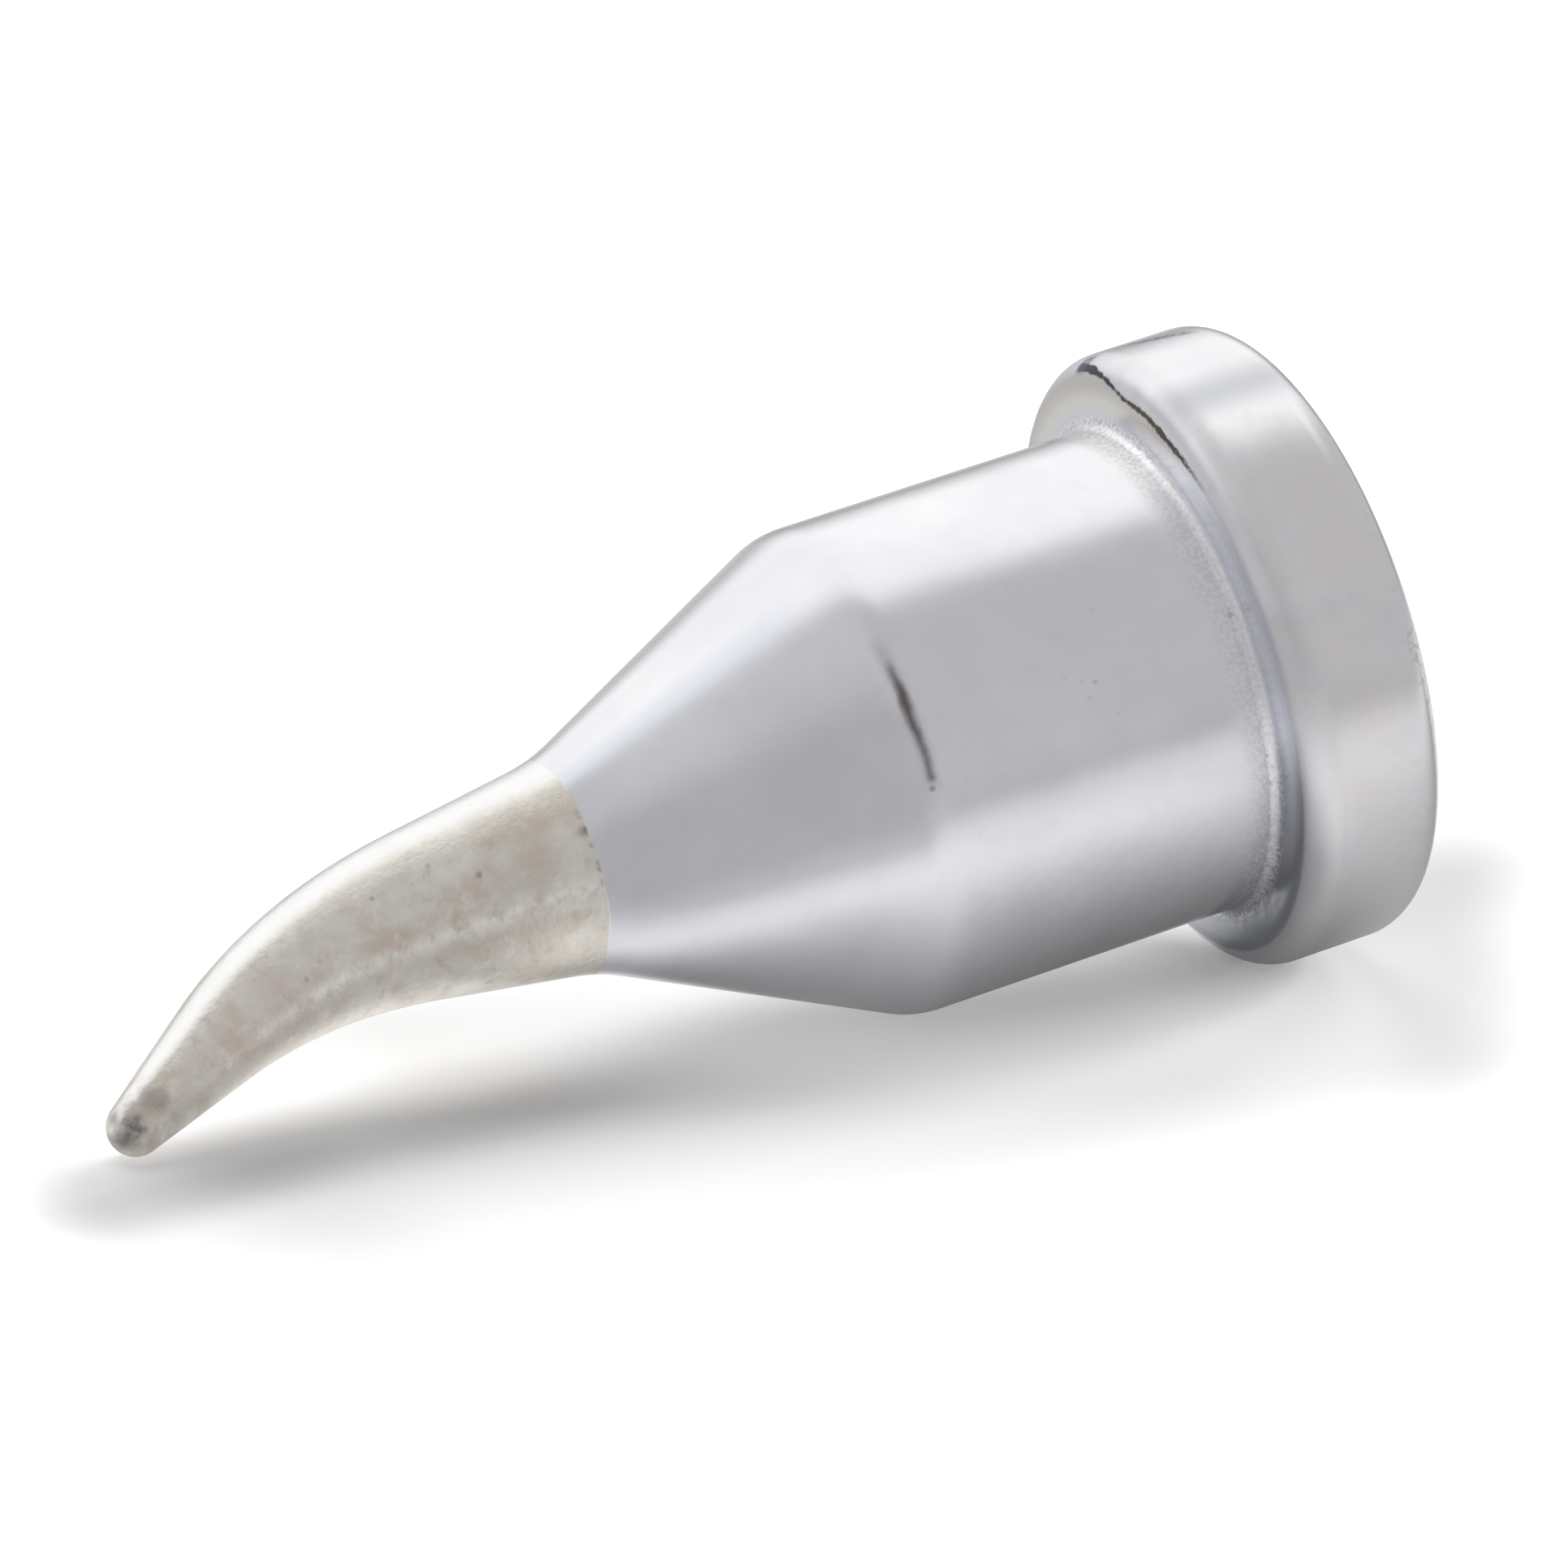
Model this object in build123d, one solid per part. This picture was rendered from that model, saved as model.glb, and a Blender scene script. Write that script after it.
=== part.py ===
from build123d import *
from math import acos, asin, atan2, cos, degrees, hypot, radians, sin, tan
import os

# Bent soldering tip: one turned copper piece, hollow for the heater, with its nose bent over.
# All sizes are in millimetres and degrees.
# Distances are taken along the tip's axis from the rear face of the collar.

# Turned sizes
COLLAR_DIAMETER = 8.3
COLLAR_WIDTH = 2.0
COLLAR_REAR_EDGE_RADIUS = 0.45
COLLAR_FRONT_EDGE_RADIUS = 0.45
COLLAR_ROOT_RADIUS = 0.15
BODY_DIAMETER = 6.5
BODY_LENGTH = 4.65
SHOULDER_RADIUS = 1.2
CONE_LENGTH = 3.9
CONE_HALF_ANGLE = 25.2
NECK_RADIUS = 2.4

# Nose sizes
NOSE_HALF_ANGLE = 8.3
NOSE_STRAIGHT_LENGTH = 2.0
BEND_RADIUS = 6.4
BEND_ANGLE = 30.0
END_RADIUS = 0.37

# Heater bore sizes
BORE_DIAMETER = 5.0
BORE_DEPTH = 4.8
BORE_MOUTH_CHAMFER = 0.2
DRILL_POINT_ANGLE = 118.0

# Radii and stations worked out from the sizes
collar_radius = COLLAR_DIAMETER / 2
body_radius = BODY_DIAMETER / 2
bore_radius = BORE_DIAMETER / 2
shoulder_station = COLLAR_WIDTH + BODY_LENGTH
neck_station = shoulder_station + CONE_LENGTH
neck_radius_at_cone_end = body_radius - CONE_LENGTH * tan(radians(CONE_HALF_ANGLE))
bend_start = neck_station + NOSE_STRAIGHT_LENGTH
bend_end = bend_start + BEND_RADIUS * radians(BEND_ANGLE)


def nose_radius(station):
    """Radius of the tapered nose at a distance along its middle line."""
    return neck_radius_at_cone_end - (station - neck_station) * tan(radians(NOSE_HALF_ANGLE))


# The end ball touches the taper all round, so its centre follows from both
end_tangent_radius = END_RADIUS * cos(radians(NOSE_HALF_ANGLE))
taper_at_end_centre = END_RADIUS / cos(radians(NOSE_HALF_ANGLE))
end_centre = neck_station + (neck_radius_at_cone_end - taper_at_end_centre) / tan(radians(NOSE_HALF_ANGLE))
end_tangent_station = end_centre + END_RADIUS * sin(radians(NOSE_HALF_ANGLE))


def turned_outside():
    """Collar, body, shoulder, cone and the straight root of the nose, as one revolved profile."""
    rim = FilletPolyline(
        (0, 0),
        (0, collar_radius),
        (-COLLAR_WIDTH, collar_radius),
        (-COLLAR_WIDTH, body_radius),
        (-shoulder_station, body_radius),
        (-neck_station, neck_radius_at_cone_end),
        (-bend_start, nose_radius(bend_start)),
        radius=[
            COLLAR_REAR_EDGE_RADIUS,
            COLLAR_FRONT_EDGE_RADIUS,
            COLLAR_ROOT_RADIUS,
            SHOULDER_RADIUS,
            NECK_RADIUS,
        ],
    )
    closing = Polyline((-bend_start, nose_radius(bend_start)), (-bend_start, 0), (0, 0))
    return revolve(make_face(rim + closing), axis=Axis.X)


def heater_bore():
    """Blind drilled bore with its point and a small chamfer at the mouth."""
    point_depth = bore_radius / tan(radians(DRILL_POINT_ANGLE / 2))
    mouth_radius = bore_radius + BORE_MOUTH_CHAMFER
    profile = Polyline(
        (0, 0),
        (0, mouth_radius),
        (-BORE_MOUTH_CHAMFER, bore_radius),
        (-BORE_DEPTH, bore_radius),
        (-BORE_DEPTH - point_depth, 0),
        close=True,
    )
    return revolve(make_face(profile), axis=Axis.X)


def bent_nose():
    """The nose past its straight root.

    A shrinking round section is swept round the bend, and the straight point follows it.
    """
    path = JernArc(start=(-bend_start, 0), tangent=(-1, 0), radius=BEND_RADIUS, arc_size=BEND_ANGLE)
    near = (path ^ 0) * Circle(nose_radius(bend_start))
    far = (path ^ 1) * Circle(nose_radius(bend_end))
    swept = sweep([near, far], path=path, multisection=True)
    along_point = Pos(path @ 1) * Rot(Z=180 + BEND_ANGLE)
    return swept + along_point * straight_point()


def straight_point():
    """The last straight taper and the round end, revolved about X with the bend's end at the origin."""
    taper_length = end_tangent_station - bend_end
    ball_centre = end_centre - bend_end
    sides = Polyline(
        (ball_centre + END_RADIUS, 0),
        (0, 0),
        (0, nose_radius(bend_end)),
        (taper_length, end_tangent_radius),
    )
    end_round = RadiusArc((taper_length, end_tangent_radius), (ball_centre + END_RADIUS, 0), END_RADIUS)
    return revolve(make_face(sides + end_round), axis=Axis.X)


def resting_pose():
    """The tip laid down on its collar's front edge, its shoulder and its nose end.

    The tilt is the slope of the line that touches the collar's edge round and the shoulder round.
    The roll about the axis brings the nose's end ball down to the plane through that line.
    """
    edge_station = COLLAR_WIDTH - COLLAR_FRONT_EDGE_RADIUS
    edge_height = collar_radius - COLLAR_FRONT_EDGE_RADIUS
    round_station = shoulder_station - SHOULDER_RADIUS * tan(radians(CONE_HALF_ANGLE / 2))
    round_height = body_radius - SHOULDER_RADIUS
    span = hypot(round_station - edge_station, round_height - edge_height)
    drop = atan2(edge_height - round_height, round_station - edge_station)
    tilt = drop + asin((COLLAR_FRONT_EDGE_RADIUS - SHOULDER_RADIUS) / span)
    plane_distance = edge_station * sin(tilt) + edge_height * cos(tilt) + COLLAR_FRONT_EDGE_RADIUS

    point_length = end_centre - bend_end
    end_reach = bend_start + BEND_RADIUS * sin(radians(BEND_ANGLE)) + point_length * cos(radians(BEND_ANGLE))
    end_offset = BEND_RADIUS * (1 - cos(radians(BEND_ANGLE))) + point_length * sin(radians(BEND_ANGLE))
    lean = (plane_distance - END_RADIUS - end_reach * sin(tilt)) / (end_offset * cos(tilt))
    roll = acos(max(-1.0, min(1.0, lean)))
    return degrees(tilt), degrees(roll)


tip = turned_outside() + bent_nose() - heater_bore()

tilt, roll = resting_pose()
laid = Rot(Y=-tilt) * Rot(X=90 - roll) * tip
box = laid.bounding_box()
laid = Pos(-box.center().X, -box.center().Y, -box.min.Z) * laid

os.makedirs("parts", exist_ok=True)
export_step(laid, "parts/soldering_tip.step")
print(f"tilt {tilt:.3f}, roll {roll:.3f}, volume {laid.volume:.3f}")
print(f"rear face centre {-box.center().X:.4f}, {-box.center().Y:.4f}, {-box.min.Z:.4f}")
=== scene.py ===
import bpy
from math import acos, asin, atan2, cos, hypot, pi, radians, sin, tan
from mathutils import Matrix, Vector


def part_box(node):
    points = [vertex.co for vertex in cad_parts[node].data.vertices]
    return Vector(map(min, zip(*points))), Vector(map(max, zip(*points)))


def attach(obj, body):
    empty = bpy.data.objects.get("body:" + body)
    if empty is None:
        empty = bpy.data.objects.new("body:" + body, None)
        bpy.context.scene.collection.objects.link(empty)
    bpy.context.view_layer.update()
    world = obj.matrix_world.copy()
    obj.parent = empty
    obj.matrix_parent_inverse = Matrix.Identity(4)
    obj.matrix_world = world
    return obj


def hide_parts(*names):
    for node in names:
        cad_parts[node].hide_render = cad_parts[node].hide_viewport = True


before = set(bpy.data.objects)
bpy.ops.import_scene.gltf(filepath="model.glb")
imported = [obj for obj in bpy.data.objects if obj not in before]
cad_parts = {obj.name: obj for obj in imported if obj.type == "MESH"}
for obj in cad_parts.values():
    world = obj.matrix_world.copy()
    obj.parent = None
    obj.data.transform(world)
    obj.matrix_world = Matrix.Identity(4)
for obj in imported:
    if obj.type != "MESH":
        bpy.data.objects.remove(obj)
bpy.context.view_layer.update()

# Sizes of the tip, in millimetres and radians, along its axis from the rear face of the collar
MM = 0.001
SIZES = {
    "Collar radius": 4.15,
    "Collar width": 2.0,
    "Collar rear edge round": 0.45,
    "Collar front edge round": 0.45,
    "Collar root round": 0.15,
    "Barrel radius": 3.25,
    "Barrel length": 4.65,
    "Shoulder round": 1.2,
    "Cone length": 3.9,
    "Cone half angle": radians(25.2),
    "Neck round": 2.4,
    "Nose half angle": radians(8.3),
    "Nose straight length": 2.0,
    "Bend radius": 6.4,
    "Bend angle": radians(30.0),
    "End round": 0.37,
    "Bore radius": 2.5,
    "Bore depth": 4.8,
    "Bore mouth chamfer": 0.2,
    "Drill point half angle": radians(59.0),
    "Inner edge round": 0.03,
    "Row spacing": 0.3,
    "Row spacing at the root": 0.05,
    "Root zone": 0.42,
    "Bead height": 0.008,
    "Bead grain size": 0.13,
    "Bead seed": 4.0,
}
COLUMNS = 360
ROUND_STEPS = 10
SEAM_GAP = 0.00005
PLACE_ATTRIBUTE = "turned_place"


# Node trees, laid out node by node
class Sheet:
    """One node tree and the sums that are written on it."""

    def __init__(self, tree):
        self.tree = tree

    def node(self, kind, settings=None, **wires):
        made = self.tree.nodes.new(kind)
        for name, value in (settings or {}).items():
            setattr(made, name, value)
        for name, value in wires.items():
            self.wire(value, self.socket(made.inputs, name))
        return made

    @staticmethod
    def socket(sockets, name):
        """A socket by its place, as in i0, or by its name with underscores for spaces."""
        if name[0] == "i" and name[1:].isdigit():
            return sockets[int(name[1:])]
        return sockets[name.replace("_", " ")]

    def wire(self, value, socket):
        if isinstance(value, bpy.types.NodeSocket):
            self.tree.links.new(value, socket)
        elif value is not None:
            socket.default_value = value

    def sum(self, operation, a, b=None):
        made = self.node("ShaderNodeMath", {"operation": operation})
        self.wire(a, made.inputs[0])
        self.wire(b, made.inputs[1])
        return made.outputs[0]

    def add(self, *terms):
        total = terms[0]
        for term in terms[1:]:
            total = self.sum("ADD", total, term)
        return total

    def sub(self, a, b):
        return self.sum("SUBTRACT", a, b)

    def mul(self, *factors):
        product = factors[0]
        for factor in factors[1:]:
            product = self.sum("MULTIPLY", product, factor)
        return product

    def div(self, a, b):
        return self.sum("DIVIDE", a, b)

    def most(self, a, b):
        return self.sum("MAXIMUM", a, b)

    def least(self, a, b):
        return self.sum("MINIMUM", a, b)

    def size(self, a, b):
        """Length of the slope with these two sides."""
        return self.sum("SQRT", self.add(self.mul(a, a), self.mul(b, b)))

    def degrees(self, rise, run):
        """Angle in degrees of the slope with this rise and run."""
        return self.mul(self.sum("ARCTAN2", rise, run), 180 / pi)

    def point(self, x, y, z=0.0):
        return self.node("ShaderNodeCombineXYZ", X=x, Y=y, Z=z).outputs[0]

    def parts(self, vector):
        return self.node("ShaderNodeSeparateXYZ", Vector=vector).outputs

    def ramp(self, value, low, high, at_low=0.0, at_high=1.0):
        """A smooth change from at_low to at_high as the value goes from low to high."""
        made = self.node("ShaderNodeMapRange", {"interpolation_type": "SMOOTHSTEP"})
        for place, given in enumerate((value, low, high, at_low, at_high)):
            self.wire(given, made.inputs[place])
        return made.outputs[0]

    def ramps(self, value, rows):
        """The sum of several ramps of one value."""
        return self.add(*(self.ramp(value, *row) for row in rows))

    def between(self, value, start, full, fading, end):
        """0 up to start, 1 from full to fading, and 0 again past end."""
        return self.mul(self.ramp(value, start, full), self.ramp(value, end, fading))

    def band(self, value, middle, half, soft):
        """1 where the value is within half of the middle, fading over the soft width at both ends."""
        off = self.sum("ABSOLUTE", self.sub(value, middle))
        return self.ramp(off, self.sub(half, soft), self.add(half, soft), 1.0, 0.0)

    def noise(self, where, scale, detail, roughness, seed):
        made = self.node("ShaderNodeTexNoise", {"noise_dimensions": "4D"})
        given = {"Vector": where, "W": seed, "Scale": scale, "Detail": detail, "Roughness": roughness}
        for name, value in given.items():
            self.wire(value, made.inputs[name])
        made.inputs["Distortion"].default_value = 0.0
        return made.outputs[0]

    def clouds(self, where, pattern, low, high, at_low=0.0, at_high=1.0):
        """Blotches of a pattern: at_low where its noise is under low, at_high where it is over high."""
        return self.ramp(self.noise(where, *pattern), low, high, at_low, at_high)

    def swing(self, where, pattern):
        """A pattern's noise as a swing about 0."""
        return self.sub(self.noise(where, *pattern), 0.5)


# Shape of the tip
def by_index(sheet, kind, values):
    """Picks one of the values by the index of the point."""
    chooser = sheet.node("GeometryNodeIndexSwitch", {"data_type": kind})
    while len(chooser.index_switch_items) < len(values):
        chooser.index_switch_items.new()
    sheet.wire(sheet.node("GeometryNodeInputIndex").outputs[0], chooser.inputs[0])
    for place, value in enumerate(values):
        sheet.wire(value, chooser.inputs[1 + place])
    return chooser.outputs[0]


def half_section(sheet, size):
    """Half section of the tip as a curve from the nose end to the bore's point.

    Its x runs along the axis and its y outwards.
    """
    shoulder = sheet.add(size["Collar width"], size["Barrel length"])
    neck = sheet.add(shoulder, size["Cone length"])
    cone_fall = sheet.mul(size["Cone length"], sheet.sum("TANGENT", size["Cone half angle"]))
    neck_radius = sheet.sub(size["Barrel radius"], cone_fall)
    nose_slope = sheet.sum("TANGENT", size["Nose half angle"])
    radius_at_end = sheet.div(size["End round"], sheet.sum("COSINE", size["Nose half angle"]))
    end_centre = sheet.add(neck, sheet.div(sheet.sub(neck_radius, radius_at_end), nose_slope))
    end = sheet.add(end_centre, size["End round"])
    end_corner = sheet.sub(neck_radius, sheet.mul(sheet.sub(end, neck), nose_slope))
    mouth_radius = sheet.add(size["Bore radius"], size["Bore mouth chamfer"])
    drill_slope = sheet.sum("TANGENT", size["Drill point half angle"])
    bore_end = sheet.add(size["Bore depth"], sheet.div(size["Bore radius"], drill_slope))
    corners = [
        sheet.point(end, 0.0),
        sheet.point(end, end_corner),
        sheet.point(neck, neck_radius),
        sheet.point(shoulder, size["Barrel radius"]),
        sheet.point(size["Collar width"], size["Barrel radius"]),
        sheet.point(size["Collar width"], size["Collar radius"]),
        sheet.point(0.0, size["Collar radius"]),
        sheet.point(0.0, mouth_radius),
        sheet.point(size["Bore mouth chamfer"], size["Bore radius"]),
        sheet.point(size["Bore depth"], size["Bore radius"]),
        sheet.point(bore_end, 0.0),
    ]
    just_under_full = 0.999
    rounds = [
        0.0,
        sheet.mul(size["End round"], just_under_full),
        size["Neck round"],
        size["Shoulder round"],
        size["Collar root round"],
        size["Collar front edge round"],
        size["Collar rear edge round"],
        size["Inner edge round"],
        size["Inner edge round"],
        size["Inner edge round"],
        0.0,
    ]
    line = sheet.node("GeometryNodeMeshLine", Count=len(corners))
    places = by_index(sheet, "VECTOR", corners)
    bent = sheet.node("GeometryNodeSetPosition", Geometry=line.outputs[0], Position=places)
    curve = sheet.node("GeometryNodeMeshToCurve", Mesh=bent.outputs[0])
    radii = by_index(sheet, "FLOAT", rounds)
    wires = {"Curve": curve.outputs[0], "Count": ROUND_STEPS, "Radius": radii}
    return sheet.node("GeometryNodeFilletCurve", {"mode": "POLY"}, **wires).outputs[0]


def root_distance(sheet, size, along, out):
    """Distance in the half section from the corner between the barrel and the collar."""
    return sheet.size(sheet.sub(along, size["Collar width"]), sheet.sub(out, size["Barrel radius"]))


def closer_rows(sheet, size, curve):
    """Adds points along the straight runs of the half section, closer together at the root of the collar."""
    place = sheet.node("GeometryNodeInputPosition").outputs[0]
    index = sheet.node("GeometryNodeInputIndex").outputs[0]
    after = sheet.node("FunctionNodeIntegerMath", i0=index, i1=1).outputs[0]
    vector = {"data_type": "FLOAT_VECTOR"}
    following = sheet.node("GeometryNodeFieldAtIndex", vector, i0=place, i1=after).outputs[0]
    apart = sheet.node("ShaderNodeVectorMath", {"operation": "DISTANCE"}, i0=place, i1=following)
    run = apart.outputs["Value"]
    wide = sheet.sum("FLOOR", sheet.div(run, size["Row spacing"]))
    first = sheet.node("GeometryNodeSubdivideCurve", Curve=curve, Cuts=wide).outputs[0]
    from_root = root_distance(sheet, size, *sheet.parts(place)[:2])
    near_root = sheet.sum("LESS_THAN", from_root, size["Root zone"])
    fine = sheet.mul(near_root, sheet.sum("FLOOR", sheet.div(run, size["Row spacing at the root"])))
    return sheet.node("GeometryNodeSubdivideCurve", Curve=first, Cuts=fine).outputs[0]


# Grains of the root bead: where they thin out as shares of the root zone, the detail, roughness and levels
# of their noise, and how high they stand at each turn in degrees about the axis
BEAD_ZONE_SHARES = (0.5, 0.95)
BEAD_GRAIN = (2.0, 0.6)
BEAD_GRAIN_LEVELS = (0.35, 0.7)
BEAD_OVER_TOP = [(78.0, 92.0, 0.3, 0.6), (104.0, 118.0, 0.0, 0.4)]
BEAD_UNDERNEATH = (12.0, -4.0)
BEAD_LEAN = 0.75


def beaded(sheet, size, along, out, turn_sides, turned):
    """Stands the grains of plating up along the root of the collar. Returns the raised along and out."""
    bend_side, far_side = turn_sides
    zone_ends = (share * SIZES["Root zone"] for share in BEAD_ZONE_SHARES)
    in_bead = sheet.ramp(root_distance(sheet, size, along, out), *zone_ends, 1.0, 0.0)
    scale = sheet.div(1.0, size["Bead grain size"])
    grain = sheet.ramp(sheet.noise(turned, scale, *BEAD_GRAIN, size["Bead seed"]), *BEAD_GRAIN_LEVELS)
    turn = sheet.degrees(far_side, bend_side)
    rougher = sheet.most(sheet.ramps(turn, BEAD_OVER_TOP), sheet.ramp(turn, *BEAD_UNDERNEATH))
    lift = sheet.mul(in_bead, size["Bead height"], rougher, grain)
    each_way = sheet.mul(lift, BEAD_LEAN)
    return sheet.add(along, each_way), sheet.add(out, each_way)


def bent_place(sheet, size, along, out, turn_sides):
    """Where a point of the turned tip lies once the nose is bent round its arc and goes on straight."""
    bend_side, far_side = turn_sides
    neck = sheet.add(size["Collar width"], size["Barrel length"], size["Cone length"])
    bend_start = sheet.add(neck, size["Nose straight length"])
    past = sheet.most(sheet.sub(along, bend_start), 0.0)
    bent = sheet.least(sheet.div(past, size["Bend radius"]), size["Bend angle"])
    point_run = sheet.sub(past, sheet.mul(bent, size["Bend radius"]))
    sine, cosine = sheet.sum("SINE", bent), sheet.sum("COSINE", bent)
    past_along = sheet.add(sheet.mul(sine, size["Bend radius"]), sheet.mul(cosine, point_run))
    middle_along = sheet.add(sheet.least(along, bend_start), past_along)
    arc_aside = sheet.mul(sheet.sub(1.0, cosine), size["Bend radius"])
    middle_aside = sheet.add(arc_aside, sheet.mul(sine, point_run))
    inward = sheet.mul(out, bend_side)
    return sheet.point(
        sheet.sub(sheet.mul(inward, sine), middle_along),
        sheet.sub(sheet.mul(-1.0, middle_aside), sheet.mul(inward, cosine)),
        sheet.mul(out, far_side),
    )


def tip_tree(finish):
    """The tree that turns the half section about the axis, roughens the root bead and bends the nose."""
    tree = bpy.data.node_groups.new("turned_and_bent_tip", "GeometryNodeTree")
    for name in SIZES:
        tree.interface.new_socket(name, in_out="INPUT", socket_type="NodeSocketFloat")
    tree.interface.new_socket("Columns", in_out="INPUT", socket_type="NodeSocketInt")
    tree.interface.new_socket("Tip", in_out="OUTPUT", socket_type="NodeSocketGeometry")
    sheet = Sheet(tree)
    size = sheet.node("NodeGroupInput").outputs
    rim = closer_rows(sheet, size, half_section(sheet, size))

    # A grid with one row for each point of the rim, and its first and last columns on each other
    vector = {"data_type": "FLOAT_VECTOR"}
    counted = sheet.node("GeometryNodeAttributeDomainSize", {"component": "CURVE"}, Geometry=rim)
    rows = counted.outputs["Point Count"]
    around = sheet.node("FunctionNodeIntegerMath", i0=size["Columns"], i1=1).outputs[0]
    grid = sheet.node("GeometryNodeMeshGrid", Vertices_X=rows, Vertices_Y=around).outputs[0]
    index = sheet.node("GeometryNodeInputIndex").outputs[0]
    row = sheet.node("FunctionNodeIntegerMath", {"operation": "DIVIDE_FLOOR"}, i0=index, i1=around).outputs[0]
    column = sheet.node("FunctionNodeIntegerMath", {"operation": "MODULO"}, i0=index, i1=around).outputs[0]
    place = sheet.node("GeometryNodeInputPosition").outputs[0]
    picked = sheet.node("GeometryNodeSampleIndex", vector, Geometry=rim, Value=place, Index=row)
    along, out, _ = sheet.parts(picked.outputs[0])
    turn = sheet.mul(column, sheet.div(2 * pi, size["Columns"]))
    turn_sides = sheet.sum("COSINE", turn), sheet.sum("SINE", turn)
    turned = sheet.point(along, *(sheet.mul(out, side) for side in turn_sides))
    stored = {"Geometry": grid, "Name": PLACE_ATTRIBUTE, "Value": turned}
    kept = sheet.node("GeometryNodeStoreNamedAttribute", vector, **stored).outputs[0]

    raised_along, raised_out = beaded(sheet, size, along, out, turn_sides, turned)
    final = bent_place(sheet, size, raised_along, raised_out, turn_sides)
    shaped = sheet.node("GeometryNodeSetPosition", Geometry=kept, Position=final).outputs[0]
    closed = sheet.node("GeometryNodeMergeByDistance", Geometry=shaped, Distance=SEAM_GAP).outputs[0]
    smooth = sheet.node("GeometryNodeSetShadeSmooth", Geometry=closed, Shade_Smooth=True).outputs[0]
    real = sheet.node("GeometryNodeRealizeInstances", Geometry=smooth).outputs[0]
    finished = sheet.node("GeometryNodeSetMaterial", Geometry=real, Material=finish).outputs[0]
    sheet.node("NodeGroupOutput", Tip=finished)
    return tree


def lying_angles():
    """Tilt and roll of the tip that lies on its collar's front edge, its shoulder and its nose end."""
    shoulder = SIZES["Collar width"] + SIZES["Barrel length"]
    neck = shoulder + SIZES["Cone length"]
    edge = SIZES["Collar front edge round"]
    edge_along, edge_out = SIZES["Collar width"] - edge, SIZES["Collar radius"] - edge
    round_along = shoulder - SIZES["Shoulder round"] * tan(SIZES["Cone half angle"] / 2)
    round_out = SIZES["Barrel radius"] - SIZES["Shoulder round"]
    span = hypot(round_along - edge_along, round_out - edge_out)
    drop = atan2(edge_out - round_out, round_along - edge_along)
    tilt = drop + asin((edge - SIZES["Shoulder round"]) / span)
    floor_distance = edge_along * sin(tilt) + edge_out * cos(tilt) + edge
    neck_radius = SIZES["Barrel radius"] - SIZES["Cone length"] * tan(SIZES["Cone half angle"])
    slope = SIZES["Nose half angle"]
    end_centre = neck + (neck_radius - SIZES["End round"] / cos(slope)) / tan(slope)
    bend_start = neck + SIZES["Nose straight length"]
    bend = SIZES["Bend angle"]
    point_run = end_centre - bend_start - SIZES["Bend radius"] * bend
    reach = bend_start + SIZES["Bend radius"] * sin(bend) + point_run * cos(bend)
    aside = SIZES["Bend radius"] * (1 - cos(bend)) + point_run * sin(bend)
    lean = (floor_distance - SIZES["End round"] - reach * sin(tilt)) / (aside * cos(tilt))
    return tilt, acos(lean)


def lay_down(mesh):
    """Lays the turned mesh as the frame's tip lies, and fits it into the box of that tip."""
    tilt, roll = lying_angles()
    to_metres = Matrix.Scale(MM, 4)
    mesh.transform(Matrix.Rotation(-tilt, 4, "Y") @ Matrix.Rotation(pi / 2 - roll, 4, "X") @ to_metres)
    low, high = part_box("soldering_tip")
    corners = [v.co for v in mesh.vertices]
    lowest = Vector(min(c[axis] for c in corners) for axis in range(3))
    highest = Vector(max(c[axis] for c in corners) for axis in range(3))
    to_origin = Vector((-(lowest.x + highest.x) / 2, -(lowest.y + highest.y) / 2, -lowest.z))
    to_place = Vector(((low.x + high.x) / 2, (low.y + high.y) / 2, low.z))
    shares = [(high[axis] - low[axis]) / (highest[axis] - lowest[axis]) for axis in range(3)]
    inside_box = Matrix.Scale(min(1.0, *shares), 4)
    mesh.transform(Matrix.Translation(to_place) @ inside_box @ Matrix.Translation(to_origin))


def made_tip(finish):
    """Runs the tree, keeps its mesh, and lays the tip down where the frame has it."""
    blank = bpy.data.objects.new("tip_blank", bpy.data.meshes.new("tip_blank"))
    bpy.context.scene.collection.objects.link(blank)
    tree = tip_tree(finish)
    turning = blank.modifiers.new("turning", "NODES")
    turning.node_group = tree
    for item in tree.interface.items_tree:
        if item.in_out == "INPUT":
            turning[item.identifier] = COLUMNS if item.name == "Columns" else SIZES[item.name]
    bpy.context.view_layer.update()
    depsgraph = bpy.context.evaluated_depsgraph_get()
    turned = blank.evaluated_get(depsgraph)
    mesh = bpy.data.meshes.new_from_object(turned, preserve_all_data_layers=True, depsgraph=depsgraph)
    bpy.data.objects.remove(blank)
    lay_down(mesh)
    mesh.name = "bent_soldering_tip"
    tip = bpy.data.objects.new("bent_soldering_tip", mesh)
    bpy.context.scene.collection.objects.link(tip)
    return tip


# Finish of the tip: bright plating, a tinned nose, the marks on them, and painted highlights, reflections and
# shade.
# Stations are millimetres along the axis from the collar's rear face, and outs are millimetres from the axis.
# Turns are degrees about the axis, from the side that the nose bends towards.
PLATING_SHADE = (0.69, 0.685, 0.725, 1)
PLATING_LIGHT = (0.75, 0.745, 0.775, 1)
HANDLED_GREY = (0.59, 0.585, 0.595, 1)
COLLAR_WARM = (0.725, 0.705, 0.695, 1)
# The next two colours are painted reflections: darker, cooler bands across the highlight
COLLAR_PAINTED_REFLECTION = (0.46, 0.475, 0.515, 1)
CONE_PAINTED_REFLECTION = (0.60, 0.635, 0.69, 1)
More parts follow.
